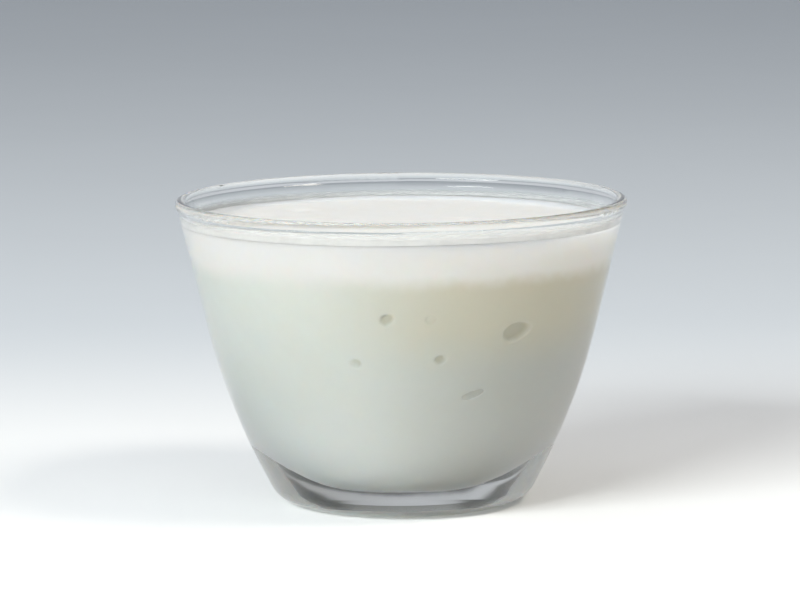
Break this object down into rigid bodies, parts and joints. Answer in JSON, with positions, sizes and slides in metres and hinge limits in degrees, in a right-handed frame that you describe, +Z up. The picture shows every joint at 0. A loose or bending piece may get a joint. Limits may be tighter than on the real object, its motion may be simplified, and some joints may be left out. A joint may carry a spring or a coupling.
{
  "type": "bowl of yogurt",
  "caption": "Tall clear glass dessert bowl with a heavy rounded base, filled nearly to its rim with plain white yogurt.",
  "frame": {"origin": "centre of the flat base that the bowl stands on", "axes": "+Z up along the bowl's axis; the front is towards -Y, where the yogurt's largest air pocket shows through the glass at its right"},
  "size_m": [0.12, 0.12, 0.081],
  "materials": {
    "clear_glass": "polished",
    "plain_yogurt": "moist satin"
  },
  "bodies": {
    "root": {"glass_bowl": "clear_glass", "yogurt": "plain_yogurt"}
  },
  "joints": []
}
